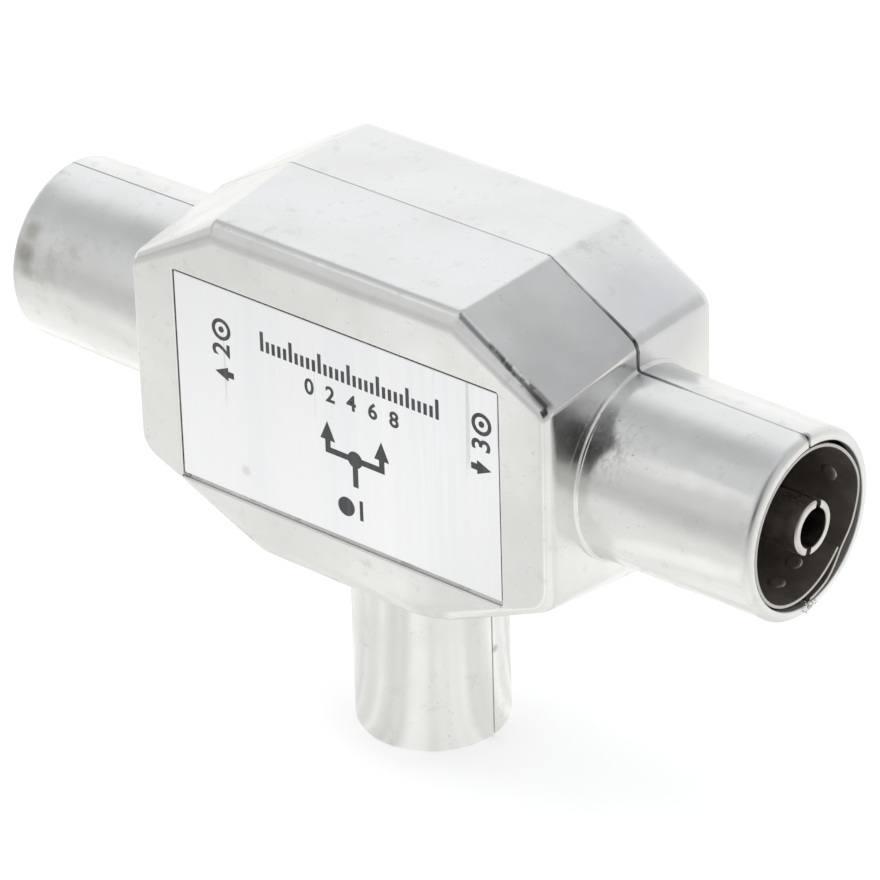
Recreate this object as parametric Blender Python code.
"""A two-way coaxial splitter for television aerial leads, standing on its input plug.

The case is cast in two halves that meet on the plane Y = 0, and each half carries half of
every arm. Left and right arms are sockets, the arm below is the plug. Metres, +Z up, front
towards -Y. All meshes are drawn about the point where the arms' axes cross.
"""

import math

import bmesh
import bpy
from mathutils import Matrix, Vector

MM = 0.001

# Case: the outline where the halves meet, seen from the front
CASE_HALF_WIDTH = 16.0 * MM
CASE_TOP = 11.31 * MM
CASE_BOTTOM = 11.27 * MM
CHAMFER_HEIGHT = 3.66 * MM
TOP_CHAMFER_WIDTH = 6.25 * MM
BOTTOM_CHAMFER_WIDTH = 8.95 * MM
CASE_HALF_DEPTH = 8.02 * MM
WALL = 1.3 * MM
JOINT_GAP = 0.06 * MM
JOINT_EDGE = 0.12 * MM

# Case: how far the walls lean in at the ridge round each face, and the bevel beyond it
FRONT_BEVEL_DEPTH = 0.52 * MM
FRONT_SIDE_DRAFT = 0.26 * MM
FRONT_END_DRAFT = 0.50 * MM
FRONT_CORNER_DROP = 1.05 * MM
FRONT_FLAT_CUT = 0.55 * MM
FRONT_BEVEL_SIDE = 0.30 * MM
FRONT_BEVEL_END = 1.05 * MM
FRONT_BEVEL_DROP = 0.31 * MM
FRONT_BEVEL_CUT = 0.21 * MM
REAR_BEVEL_DEPTH = 1.10 * MM
REAR_DRAFT = 0.15 * MM
REAR_BEVEL = 1.00 * MM
FRONT_CORNER_ROUND = 0.40 * MM
JOINT_CORNER_ROUND = 0.60 * MM
REAR_CORNER_ROUND = 1.10 * MM
RIDGE_ROUND = 0.25 * MM

# Arms: lengths from the case wall, and how far outside that wall the insulators' shoulders lie
SOCKET_ARM_LENGTH = 12.0 * MM
SOCKET_ROOT_RADIUS = 5.89 * MM
SOCKET_RIM_RADIUS = 5.79 * MM
SOCKET_BORE_RADIUS = 5.12 * MM
SOCKET_SHOULDER = -0.40 * MM
PLUG_ARM_LENGTH = 12.03 * MM
PLUG_RADIUS = 4.7625 * MM
PLUG_BORE_RADIUS = 4.0 * MM
PLUG_SHOULDER = 0.63 * MM
ROOT_FILLET = 0.30 * MM
RIM_ROUND = 0.45 * MM
PLUG_RIM_ROUND = 0.35 * MM

# Rolled spring sleeve in each socket: one sheet, its inner end a loose leaf
SLEEVE_RADIUS = 4.72 * MM
SLEEVE_SHEET = 0.24 * MM
LEAF_DROP = 0.92 * MM
SLEEVE_FIRST_DEG = -11
LEAF_FIRST_DEG = 300
LEAF_LAST_DEG = 406
SLEEVE_STEPS = 56
DIMPLE_DEGREES = (100, 190, 280, 356, 380)
DIMPLE_INSET = 2.0 * MM
DIMPLE_RADIUS = 0.75 * MM
DIMPLE_DEPTH = 0.28 * MM

# Centre contacts and the insulators that hold them
CONTACT_RADIUS = 1.665 * MM
CONTACT_HOLE_RADIUS = 1.2 * MM
CONTACT_PROUD = 0.30 * MM
CONTACT_SLOT_WIDTH = 0.45 * MM
CONTACT_SLOT_LENGTH = 6.0 * MM
CONTACT_SLOT_TURN_DEG = 19
PIN_RADIUS = 1.19 * MM
PIN_RECESS = 0.5 * MM
TAIL_RADIUS = 0.6 * MM
TAIL_LENGTH = 4.6 * MM
FLANGE_THICKNESS = 1.7 * MM
SPIGOT_LIP = 1.0 * MM
EDGE_BREAK = 0.15 * MM

# Label plate on the front face: its margins to the case's outline
LABEL_SIDE_MARGIN = 3.83 * MM
LABEL_TOP_MARGIN = 4.59 * MM
LABEL_BOTTOM_MARGIN = 4.32 * MM
LABEL_THICKNESS = 0.40 * MM
LABEL_LIFT = 0.01 * MM
LABEL_GAP = 0.28 * MM
RECESS_DEPTH = 0.45 * MM
RECESS_ROUND = 0.35 * MM

# Board and the posts that clamp it
BOARD_THICKNESS = 1.0 * MM
BOARD_MARGIN = 0.5 * MM
POST_RADIUS = 1.5 * MM
POST_PIN_RADIUS = 0.7 * MM
POST_PIN_REACH = 2.2 * MM
UPPER_POST_SIDE_MARGIN = 5.0 * MM
UPPER_POST_TOP_MARGIN = 6.1 * MM
LOWER_POST_SIDE_MARGIN = 7.0 * MM
LOWER_POST_BOTTOM_MARGIN = 5.25 * MM

# Parts on the board
CORE_RING_RADIUS = 1.85 * MM
CORE_HALF_WIDTH = 0.85 * MM
CORE_HALF_HEIGHT = 1.3 * MM
CORE_SPACING = 3.9 * MM
CORE_DROP = 1.2 * MM
WIRE_RADIUS = 0.18 * MM
WINDING_TURNS = {"input": 6, "splitting": 8}
WINDING_ARC_DEG = 300
WINDING_STEPS = 12
RESISTOR_RADIUS = 1.0 * MM
RESISTOR_HALF_LENGTH = 2.2 * MM
RESISTOR_TOP_MARGIN = 6.6 * MM
LEAD_RADIUS = 0.25 * MM
LEAD_SPACING = 3.6 * MM
CAPACITOR_RADIUS = 1.5 * MM
CAPACITOR_THICKNESS = 1.1 * MM
CAPACITOR_SPACING = 1.2 * MM
CAPACITOR_BOTTOM_MARGIN = 4.95 * MM

# Clearances and facets
FIT = 0.12 * MM
SEAT = 0.10 * MM
LOOSE = 0.30 * MM
ARM_STEPS = 48
CONTACT_STEPS = 32
SMALL_STEPS = 24
LEAD_STEPS = 12
NOSE_STEPS = 5
CORNER_STEPS = 3
ARC_STEPS = 3

TO_X = Matrix.Rotation(math.radians(90), 4, "Y")
TO_FRONT = Matrix.Rotation(math.radians(90), 4, "X")
TO_DOWN = Matrix.Rotation(math.radians(180), 4, "X")

SOCKET_REACH = CASE_HALF_WIDTH + SOCKET_ARM_LENGTH
PLUG_REACH = CASE_BOTTOM + PLUG_ARM_LENGTH
RECESS_FLOOR = -CASE_HALF_DEPTH + RECESS_DEPTH
BOARD_FRONT = TAIL_RADIUS + LOOSE
BOARD_BACK = BOARD_FRONT + BOARD_THICKNESS


def clear_scene():
    for obj in list(bpy.data.objects):
        bpy.data.objects.remove(obj, do_unlink=True)


def material(name, colour, metallic, roughness):
    made = bpy.data.materials.new(name)
    made.use_nodes = True
    shader = made.node_tree.nodes["Principled BSDF"]
    shader.inputs["Base Color"].default_value = (*colour, 1)
    shader.inputs["Metallic"].default_value = metallic
    shader.inputs["Roughness"].default_value = roughness
    return made


def mesh_from(bm, name, smooth_deg=35):
    """Turns a bmesh into a mesh, faces out, with its round stretches shaded smooth."""
    bmesh.ops.remove_doubles(bm, verts=bm.verts, dist=0.0005 * MM)
    bmesh.ops.recalc_face_normals(bm, faces=bm.faces)
    mesh = bpy.data.meshes.new(name)
    bm.to_mesh(mesh)
    bm.free()
    mesh.shade_smooth()
    mesh.set_sharp_from_angle(angle=math.radians(smooth_deg))
    return mesh


def place(name, mesh, finish, turn_deg=0):
    """A named object on the crossing of the axes, turned about +Z."""
    obj = bpy.data.objects.new(name, mesh)
    obj.parent = crossing
    obj.rotation_euler.z = math.radians(turn_deg)
    bpy.context.scene.collection.objects.link(obj)
    if finish:
        obj.data.materials.clear()
        obj.data.materials.append(finish)
    return obj


def helper(name, mesh):
    """A solid that only shapes others: it is never part of the product."""
    obj = place(name, mesh, None)
    obj.hide_render = True
    obj.display_type = "WIRE"
    return obj


def combine(target, operation, *others):
    for other in others:
        step = target.modifiers.new(f"{operation.lower()} {other.name}", "BOOLEAN")
        step.operation = operation
        step.solver = "EXACT"
        step.object = other


def arc(centre, radius, first_deg, last_deg, steps=ARC_STEPS):
    turns = [first_deg + (last_deg - first_deg) * k / steps for k in range(steps + 1)]
    return [
        (centre[0] + radius * math.cos(math.radians(t)), centre[1] + radius * math.sin(math.radians(t)))
        for t in turns
    ]


def inset(points, distance):
    """A convex outline, given clockwise or not, with every side moved inwards."""
    centre = sum((Vector(p) for p in points), Vector((0, 0))) / len(points)
    lines = []
    for here, there in zip(points, points[1:] + points[:1]):
        along = (Vector(there) - Vector(here)).normalized()
        normal = Vector((-along.y, along.x))
        if normal.dot(centre - Vector(here)) < 0:
            normal.negate()
        lines.append((Vector(here) + normal * distance, along))
    moved = []
    for (p, d), (q, e) in zip(lines[-1:] + lines[:-1], lines):
        cross = d.x * e.y - d.y * e.x
        reach = ((q - p).x * e.y - (q - p).y * e.x) / cross
        moved.append(tuple(p + d * reach))
    return moved


def rounded(points, radius, steps=CORNER_STEPS):
    """An outline with an arc of the given radius at every corner."""
    found = []
    for before, corner, after in zip(points[-1:] + points[:-1], points, points[1:] + points[:1]):
        corner = Vector(corner)
        to_before = (Vector(before) - corner).normalized()
        to_after = (Vector(after) - corner).normalized()
        half = to_before.angle(to_after) / 2
        reach = radius / math.tan(half)
        centre = corner + (to_before + to_after).normalized() * radius / math.sin(half)
        first = (corner + to_before * reach - centre).normalized()
        last = (corner + to_after * reach - centre).normalized()
        for k in range(steps + 1):
            found.append(tuple(centre + first.slerp(last, k / steps) * radius))
    return found


def loft(name, rings):
    """A closed solid through rings of equal count, each (Y, [(X, Z), ...])."""
    bm = bmesh.new()
    rows = [[bm.verts.new((x, depth, z)) for x, z in ring] for depth, ring in rings]
    for row, following in zip(rows, rows[1:]):
        for k in range(len(row)):
            j = (k + 1) % len(row)
            bm.faces.new((row[k], row[j], following[j], following[k]))
    bm.faces.new(rows[0])
    bm.faces.new(rows[-1])
    return mesh_from(bm, name)


def turned(name, profile, facing=Matrix(), closed=False, steps=ARM_STEPS, at=(0, 0, 0)):
    """Turns (along, radius) points about the local +Z axis, which facing then turns."""
    bm = bmesh.new()
    rows = []
    for along, radius in profile:
        count = steps if radius > 0 else 1
        spokes = [math.tau * (k + 0.5) / steps for k in range(count)]
        ring = [(radius * math.cos(s), radius * math.sin(s), along) for s in spokes]
        rows.append([bm.verts.new(p) for p in ring])
    pairs = list(zip(rows, rows[1:])) + ([(rows[-1], rows[0])] if closed else [])
    for row, following in pairs:
        for k in range(steps):
            j = (k + 1) % steps
            corners = [row[k % len(row)], row[j % len(row)], following[j % len(following)],
                       following[k % len(following)]]
            face = list(dict.fromkeys(corners))
            if len(face) > 2:
                bm.faces.new(face)
    bmesh.ops.transform(bm, matrix=Matrix.Translation(at) @ facing, verts=bm.verts)
    return mesh_from(bm, name)


def box(name, low, high):
    bm = bmesh.new()
    bmesh.ops.create_cube(bm, size=1)
    size = Vector(high) - Vector(low)
    middle = (Vector(high) + Vector(low)) / 2
    bmesh.ops.transform(bm, matrix=Matrix.Translation(middle) @ Matrix.Diagonal((*size, 1)), verts=bm.verts)
    return mesh_from(bm, name)


def rods(name, places, radius, first, last, steps=SMALL_STEPS):
    """Parallel rods along Y at (X, Z) places, as separate bodies of one mesh."""
    bm = bmesh.new()
    for x, z in places:
        shift = Matrix.Translation((x, (first + last) / 2, z)) @ TO_FRONT
        bmesh.ops.create_cone(
            bm, cap_ends=True, segments=steps, radius1=radius, radius2=radius,
            depth=abs(last - first), matrix=shift,
        )
    return mesh_from(bm, name)


def case_outline(side=0.0, end=0.0, drop=0.0, cut=0.0):
    """The eight corners of the case as (X, Z): side and end move the straight walls in,
    drop lowers the side corners and cut shortens the flats at the top and bottom."""
    half = CASE_HALF_WIDTH - side
    top = CASE_TOP - end
    bottom = CASE_BOTTOM - end
    top_corner = CASE_TOP - CHAMFER_HEIGHT - drop
    bottom_corner = CASE_BOTTOM - CHAMFER_HEIGHT - drop
    top_flat = CASE_HALF_WIDTH - TOP_CHAMFER_WIDTH - cut
    bottom_flat = CASE_HALF_WIDTH - BOTTOM_CHAMFER_WIDTH - cut
    right = [(top_flat, top), (half, top_corner), (half, -bottom_corner), (bottom_flat, -bottom)]
    return right + [(-x, z) for x, z in reversed(right)]


def front_ridge():
    return case_outline(FRONT_SIDE_DRAFT, FRONT_END_DRAFT, FRONT_CORNER_DROP, FRONT_FLAT_CUT)


def front_face():
    return case_outline(
        FRONT_SIDE_DRAFT + FRONT_BEVEL_SIDE, FRONT_END_DRAFT + FRONT_BEVEL_END,
        FRONT_CORNER_DROP + FRONT_BEVEL_DROP, FRONT_FLAT_CUT + FRONT_BEVEL_CUT,
    )


def blend(ring, other, share):
    return [tuple(Vector(a).lerp(Vector(b), share)) for a, b in zip(ring, other)]


def softened(before, ridge, after):
    """Three rings that round the ridge between two walls, each (Y, points)."""
    def between(a, b, share):
        return (a[0] + (b[0] - a[0]) * share, blend(a[1], b[1], share))

    first = between(ridge, before, RIDGE_ROUND / abs(ridge[0] - before[0]))
    last = between(ridge, after, RIDGE_ROUND / (abs(after[0] - ridge[0]) + RIDGE_ROUND))
    middle = between(between(first, last, 0.5), ridge, 0.5)
    return [first, middle, last]


def case_block():
    """The whole case as one solid, before it is hollowed and parted. A shallow V runs round
    the joint, because the edges of both castings are broken there."""
    outline = rounded(case_outline(), JOINT_CORNER_ROUND)
    joint = (0.0, rounded(inset(case_outline(), JOINT_EDGE), JOINT_CORNER_ROUND))
    front_edge = (-JOINT_EDGE, outline)
    rear_edge = (JOINT_EDGE, outline)
    ridge = (-CASE_HALF_DEPTH + FRONT_BEVEL_DEPTH, rounded(front_ridge(), FRONT_CORNER_ROUND))
    face = (-CASE_HALF_DEPTH, rounded(front_face(), FRONT_CORNER_ROUND))
    rear_outline = inset(case_outline(), REAR_DRAFT)
    rear_ridge = (CASE_HALF_DEPTH - REAR_BEVEL_DEPTH, rounded(rear_outline, REAR_CORNER_ROUND))
    rear_face = (CASE_HALF_DEPTH, rounded(inset(rear_outline, REAR_BEVEL), REAR_CORNER_ROUND))
    front = [face, *reversed(softened(front_edge, ridge, face)), front_edge]
    rear = [rear_edge, *softened(rear_edge, rear_ridge, rear_face), rear_face]
    return loft("case block", [*front, joint, *rear])


def hollow():
    """The space inside the case: the outline one wall further in."""
    front_depth = RECESS_FLOOR + WALL
    rear_depth = CASE_HALF_DEPTH - WALL
    front = rounded(inset(front_ridge(), WALL), FRONT_CORNER_ROUND)
    middle = rounded(inset(case_outline(), WALL), FRONT_CORNER_ROUND)
    rear = rounded(inset(case_outline(), WALL + REAR_BEVEL), FRONT_CORNER_ROUND)
    return loft("hollow", [(front_depth, front), (0.0, middle), (rear_depth, rear)])


def arm_profile(wall, reach, root_radius, rim_radius, rim_round):
    """From inside the case wall, over the fillet at the root, to the rounded rim."""
    fillet = arc((wall + ROOT_FILLET, root_radius + ROOT_FILLET), ROOT_FILLET, 180, 270)
    rim = arc((reach - rim_round, rim_radius - rim_round), rim_round, 90, 0)
    start = wall - WALL / 2
    return [(start, 0), (start, root_radius + ROOT_FILLET), *fillet, *rim, (reach, 0)]


def bore_profile(port):
    """Mouth to shoulder at the full bore, then the smaller hole into the case."""
    inside = port["wall"] - WALL - LOOSE
    mouth = port["reach"] + LOOSE
    hole = spigot_radius(port["bore"]) + FIT
    return [(inside, 0), (inside, hole), (port["shoulder"], hole), (port["shoulder"], port["bore"]),
            (mouth, port["bore"]), (mouth, 0)]


def spigot_radius(bore_radius):
    return bore_radius - SPIGOT_LIP


def insulator_face(port):
    """Where the insulator's outer face stands, once its flange sits on the shoulder."""
    return port["shoulder"] + SEAT + FLANGE_THICKNESS


SOCKET = dict(
    wall=CASE_HALF_WIDTH, reach=SOCKET_REACH, bore=SOCKET_BORE_RADIUS,
    shoulder=CASE_HALF_WIDTH + SOCKET_SHOULDER,
)
PLUG = dict(
    wall=CASE_BOTTOM, reach=PLUG_REACH, bore=PLUG_BORE_RADIUS,
    shoulder=CASE_BOTTOM + PLUG_SHOULDER,
)


def arm_solids():
    socket = arm_profile(
        CASE_HALF_WIDTH, SOCKET_REACH, SOCKET_ROOT_RADIUS, SOCKET_RIM_RADIUS, RIM_ROUND,
    )
    plug = arm_profile(CASE_BOTTOM, PLUG_REACH, PLUG_RADIUS, PLUG_RADIUS, PLUG_RIM_ROUND)
    return [
        helper("right arm", turned("right arm", socket, TO_X)),
        helper("left arm", turned("left arm", socket, TO_X.inverted())),
        helper("plug arm", turned("plug arm", plug, TO_DOWN)),
    ]


def arm_bores():
    found = []
    for side, port, facing in (
        ("right", SOCKET, TO_X), ("left", SOCKET, TO_X.inverted()), ("plug", PLUG, TO_DOWN),
    ):
        found.append(helper(f"{side} bore", turned(f"{side} bore", bore_profile(port), facing)))
    return found


def post_places():
    """The four (X, Z) places where the halves clamp the board, in from the case's corners."""
    upper = (CASE_HALF_WIDTH - UPPER_POST_SIDE_MARGIN, CASE_TOP - UPPER_POST_TOP_MARGIN)
    lower = (CASE_HALF_WIDTH - LOWER_POST_SIDE_MARGIN, -CASE_BOTTOM + LOWER_POST_BOTTOM_MARGIN)
    return [(side * x, z) for x, z in (upper, lower) for side in (-1, 1)]


def shells(finish):
    """Both halves: the same block, arms, hollow and bores, parted on the joint plane."""
    block = case_block()
    arms = arm_solids()
    bores = arm_bores()
    space = helper("space", hollow())
    far = SOCKET_REACH + PLUG_REACH
    places = post_places()
    inner_front = RECESS_FLOOR + WALL
    inner_rear = CASE_HALF_DEPTH - WALL
    pin_tip = BOARD_FRONT - POST_PIN_REACH

    front = place("front_shell", block.copy(), finish)
    behind = helper("behind", box("behind", (-far, -JOINT_GAP / 2, -far), (far, far, far)))
    boss = rods("bosses", places, POST_RADIUS, inner_front - WALL / 2, BOARD_FRONT - SEAT)
    socket = rods("pin sockets", places, POST_PIN_RADIUS + FIT, pin_tip - LOOSE, BOARD_FRONT)
    combine(front, "UNION", *arms)
    combine(front, "DIFFERENCE", space, *bores, behind)
    combine(front, "UNION", helper("bosses", boss))
    combine(front, "DIFFERENCE", helper("pin sockets", socket), label_recess())

    rear = place("rear_shell", block, finish)
    before = helper("before", box("before", (-far, -far, -far), (far, JOINT_GAP / 2, far)))
    post = rods("posts", places, POST_RADIUS, BOARD_BACK + SEAT, inner_rear + WALL / 2)
    pins = rods("locating pins", places, POST_PIN_RADIUS, pin_tip, BOARD_BACK + LOOSE)
    combine(rear, "UNION", *arms)
    combine(rear, "DIFFERENCE", space, *bores, before)
    combine(rear, "UNION", helper("posts", post), helper("locating pins", pins))


def plate_outline(grow, radius):
    half = CASE_HALF_WIDTH - LABEL_SIDE_MARGIN + grow
    high = CASE_TOP - LABEL_TOP_MARGIN + grow
    low = -CASE_BOTTOM + LABEL_BOTTOM_MARGIN - grow
    return rounded([(-half, high), (half, high), (half, low), (-half, low)], radius)


def label_recess():
    outline = plate_outline(LABEL_GAP, RECESS_ROUND)
    rings = [(-CASE_HALF_DEPTH - LOOSE, outline), (RECESS_FLOOR, outline)]
    return helper("recess", loft("recess", rings))


def label_plate(finish):
    outline = plate_outline(0, EDGE_BREAK)
    back = RECESS_FLOOR - LABEL_LIFT
    place("label_plate", loft("label", [(back - LABEL_THICKNESS, outline), (back, outline)]), finish)


def leaf_radius(degrees):
    """The sheet runs round at one radius, then its last stretch falls inwards."""
    share = max(0, (degrees - LEAF_FIRST_DEG) / (LEAF_LAST_DEG - LEAF_FIRST_DEG))
    return SLEEVE_RADIUS - LEAF_DROP * share * share * (3 - 2 * share)


def dimple(degrees, along):
    """How far the sheet is pressed inwards at this point of its run."""
    deepest = 0.0
    for centre in DIMPLE_DEGREES:
        across = math.radians(degrees - centre) * SLEEVE_RADIUS
        away = math.hypot(across, along - DIMPLE_INSET) / DIMPLE_RADIUS
        deepest = max(deepest, DIMPLE_DEPTH * (1 - away))
    return deepest


def spring_sleeves(finish):
    """One sheet rolled more than full circle, on a grid of turns and lengths."""
    length = SOCKET_REACH - insulator_face(SOCKET) - SEAT
    stations = [0, DIMPLE_INSET - DIMPLE_RADIUS, DIMPLE_INSET, DIMPLE_INSET + DIMPLE_RADIUS, length]
    bm = bmesh.new()
    rows = []
    for k in range(SLEEVE_STEPS + 1):
        degrees = SLEEVE_FIRST_DEG + (LEAF_LAST_DEG - SLEEVE_FIRST_DEG) * k / SLEEVE_STEPS
        spoke = math.radians(degrees)
        row = []
        for side in (1, -1):
            line = stations if side > 0 else reversed(stations)
            for along in line:
                radius = leaf_radius(degrees) + side * SLEEVE_SHEET / 2 - dimple(degrees, along)
                point = (SOCKET_REACH - along, radius * math.sin(spoke), -radius * math.cos(spoke))
                row.append(bm.verts.new(point))
        rows.append(row)
    for row, following in zip(rows, rows[1:]):
        for j in range(len(row)):
            i = (j + 1) % len(row)
            bm.faces.new((row[j], row[i], following[i], following[j]))
    bm.faces.new(rows[0])
    bm.faces.new(rows[-1])
    mesh = mesh_from(bm, "spring sleeve")
    place("right_spring_sleeve", mesh, finish)
    place("left_spring_sleeve", mesh, finish, turn_deg=180)


def insulator_profile(port, hole_radius):
    """A stepped washer: the flange fills the bore, the spigot passes the case wall."""
    flange = port["bore"] - FIT
    spigot = spigot_radius(port["bore"])
    face = insulator_face(port)
    step = face - FLANGE_THICKNESS
    inner = port["wall"] - WALL - SEAT
    hole = hole_radius + FIT
    return [(inner, hole), (inner, spigot), (step, spigot), (step, flange), (face, flange), (face, hole)]


def contact_profile(port, tip, radius, hole_radius, hole_depth):
    """A turned contact with its tail; hole_radius 0 makes it solid with a round nose."""
    tail_end = port["wall"] - WALL - TAIL_LENGTH
    collar = port["wall"] - WALL - SEAT
    points = [(tail_end, 0), (tail_end, TAIL_RADIUS), (collar, TAIL_RADIUS), (collar, radius)]
    if hole_radius:
        wall_edge = EDGE_BREAK
        points += [(tip - wall_edge, radius), (tip, radius - wall_edge), (tip, hole_radius)]
        points += [(tip - hole_depth, hole_radius), (tip - hole_depth, 0)]
    else:
        points += arc((tip - radius, 0), radius, 90, 0, NOSE_STEPS)[:-1] + [(tip, 0)]
    return points


def contacts(brass, plastic):
    tip = SOCKET_REACH + CONTACT_PROUD
    hole_depth = SOCKET_REACH - insulator_face(SOCKET) - LOOSE
    profile = contact_profile(SOCKET, tip, CONTACT_RADIUS, CONTACT_HOLE_RADIUS, hole_depth)
    mesh = turned("socket contact", profile, TO_X, steps=CONTACT_STEPS)
    washer = insulator_profile(SOCKET, CONTACT_RADIUS)
    washer = turned("socket insulator", washer, TO_X, closed=True, steps=SMALL_STEPS)
    half = CONTACT_SLOT_WIDTH / 2
    low = (tip - CONTACT_SLOT_LENGTH, -half, -2 * CONTACT_RADIUS)
    slot = helper("contact slot", box("contact slot", low, (tip + LOOSE, half, 2 * CONTACT_RADIUS)))
    slot.rotation_euler.x = -math.radians(CONTACT_SLOT_TURN_DEG)
    for side, turn in (("right", 0), ("left", 180)):
        contact = place(f"{side}_center_contact", mesh, brass, turn)
        if turn:
            slot = helper("left contact slot", slot.data)
            slot.rotation_euler = (-math.radians(CONTACT_SLOT_TURN_DEG), 0, math.radians(turn))
        combine(contact, "DIFFERENCE", slot)
        place(f"{side}_insulator", washer, plastic, turn)
    pin = contact_profile(PLUG, PLUG_REACH - PIN_RECESS, PIN_RADIUS, 0, 0)
    place("input_pin", turned("input pin", pin, TO_DOWN, steps=SMALL_STEPS), brass)
    washer = insulator_profile(PLUG, PIN_RADIUS)
    washer = turned("plug insulator", washer, TO_DOWN, closed=True, steps=SMALL_STEPS)
    place("input_insulator", washer, plastic)


def circuit_board(finish):
    outline = rounded(inset(case_outline(), WALL + BOARD_MARGIN), FRONT_CORNER_ROUND)
    board = place("circuit_board", loft("board", [(BOARD_FRONT, outline), (BOARD_BACK, outline)]), finish)
    first, last = BOARD_FRONT - LOOSE, BOARD_BACK + LOOSE
    holes = rods("board holes", post_places(), POST_PIN_RADIUS + FIT, first, last)
    combine(board, "DIFFERENCE", helper("board holes", holes))


def core_middle():
    """Depth of the cores' centres, their windings just clear of the board."""
    return BOARD_FRONT - SEAT - CORE_HALF_HEIGHT - FIT - 2 * WIRE_RADIUS


def cores(finish):
    section = arc((0, 0), 1, 0, 315, 7)
    profile = [(y * CORE_HALF_HEIGHT, CORE_RING_RADIUS + x * CORE_HALF_WIDTH) for x, y in section]
    for name, x in (("input", -CORE_SPACING), ("splitting", CORE_SPACING)):
        at = (x, core_middle(), -CORE_DROP)
        ring = turned(f"{name} core", profile, TO_FRONT, closed=True, steps=SMALL_STEPS, at=at)
        place(f"{name}_core", ring, finish)


def windings(finish):
    """Enamelled wire wound round most of each ring, both ends next to the board."""
    reach_in = CORE_HALF_WIDTH + FIT + WIRE_RADIUS
    reach_up = CORE_HALF_HEIGHT + FIT + WIRE_RADIUS
    for name, x in (("input", -CORE_SPACING), ("splitting", CORE_SPACING)):
        turns = WINDING_TURNS[name]
        count = turns * WINDING_STEPS
        curve = bpy.data.curves.new(f"{name} winding", "CURVE")
        curve.dimensions = "3D"
        curve.bevel_depth = WIRE_RADIUS
        curve.bevel_resolution = 1
        curve.use_fill_caps = True
        spline = curve.splines.new("POLY")
        spline.points.add(count)
        for k, point in enumerate(spline.points):
            round_ring = math.radians(WINDING_ARC_DEG) * k / count
            round_wire = math.tau * k / WINDING_STEPS + math.radians(90)
            radius = CORE_RING_RADIUS + reach_in * math.cos(round_wire)
            depth = core_middle() + reach_up * math.sin(round_wire)
            across = x + radius * math.cos(round_ring)
            point.co = (across, depth, -CORE_DROP + radius * math.sin(round_ring), 1)
        place(f"{name}_winding", curve, finish)


def lead_solid(name, x, z, depth):
    """A straight wire end along Y, from a part's middle down to the board."""
    return helper(name, rods(name, [(x, z)], LEAD_RADIUS, depth, BOARD_FRONT - SEAT, LEAD_STEPS))


def resistor(finish):
    """A round body on a straight wire, both ends bent down to the board."""
    depth = BOARD_FRONT - LOOSE - RESISTOR_RADIUS
    ends = LEAD_SPACING + LEAD_RADIUS
    edge = RESISTOR_RADIUS / 3
    body_end = RESISTOR_HALF_LENGTH
    half = [(0, RESISTOR_RADIUS), (body_end - edge, RESISTOR_RADIUS), (body_end, RESISTOR_RADIUS - edge),
            (body_end, LEAD_RADIUS), (ends, LEAD_RADIUS), (ends, 0)]
    profile = [(-along, radius) for along, radius in reversed(half[1:])] + half[1:]
    height = CASE_TOP - RESISTOR_TOP_MARGIN
    mesh = turned("resistor", profile, TO_X, steps=LEAD_STEPS, at=(0, depth, height))
    body = place("isolation_resistor", mesh, finish)
    for side in (-1, 1):
        leg = lead_solid(f"resistor leg {side}", side * LEAD_SPACING, height, depth)
        combine(body, "UNION", leg)


def capacitor(finish):
    """A round disc that stands on edge on two short legs."""
    x = TAIL_RADIUS + CAPACITOR_SPACING + CAPACITOR_RADIUS
    z = -CASE_BOTTOM + CAPACITOR_BOTTOM_MARGIN
    depth = BOARD_FRONT - LOOSE - CAPACITOR_RADIUS
    half, edge = CAPACITOR_THICKNESS / 2, CAPACITOR_THICKNESS / 3
    profile = [(-half, 0), (-half, CAPACITOR_RADIUS - edge), (edge - half, CAPACITOR_RADIUS),
               (half - edge, CAPACITOR_RADIUS), (half, CAPACITOR_RADIUS - edge), (half, 0)]
    body = place("input_capacitor", turned("capacitor", profile, steps=SMALL_STEPS, at=(x, depth, z)), finish)
    for side in (-1, 1):
        leg = lead_solid(f"capacitor leg {side}", x + side * CAPACITOR_RADIUS / 2, z, depth)
        combine(body, "UNION", leg)


clear_scene()
crossing = bpy.data.objects.new("axis crossing", None)
crossing.location.z = PLUG_REACH
bpy.context.scene.collection.objects.link(crossing)

plated = material("plated casting", (0.80, 0.79, 0.76), 1.0, 0.32)
brushed = material("brushed aluminium", (0.84, 0.85, 0.87), 1.0, 0.38)
spring = material("tinned spring sheet", (0.62, 0.60, 0.56), 1.0, 0.35)
contact_metal = material("plated contact", (0.74, 0.72, 0.68), 1.0, 0.30)
plastic = material("insulator plastic", (0.05, 0.045, 0.04), 0.0, 0.50)
laminate = material("board laminate", (0.42, 0.34, 0.16), 0.0, 0.60)
ferrite = material("ferrite", (0.06, 0.06, 0.065), 0.0, 0.65)
enamel = material("enamelled wire", (0.60, 0.22, 0.10), 1.0, 0.35)
lacquer = material("resistor lacquer", (0.70, 0.58, 0.40), 0.0, 0.45)
ceramic = material("capacitor ceramic", (0.72, 0.42, 0.14), 0.0, 0.50)

shells(plated)
label_plate(brushed)
spring_sleeves(spring)
contacts(contact_metal, plastic)
circuit_board(laminate)
cores(ferrite)
windings(enamel)
resistor(lacquer)
capacitor(ceramic)
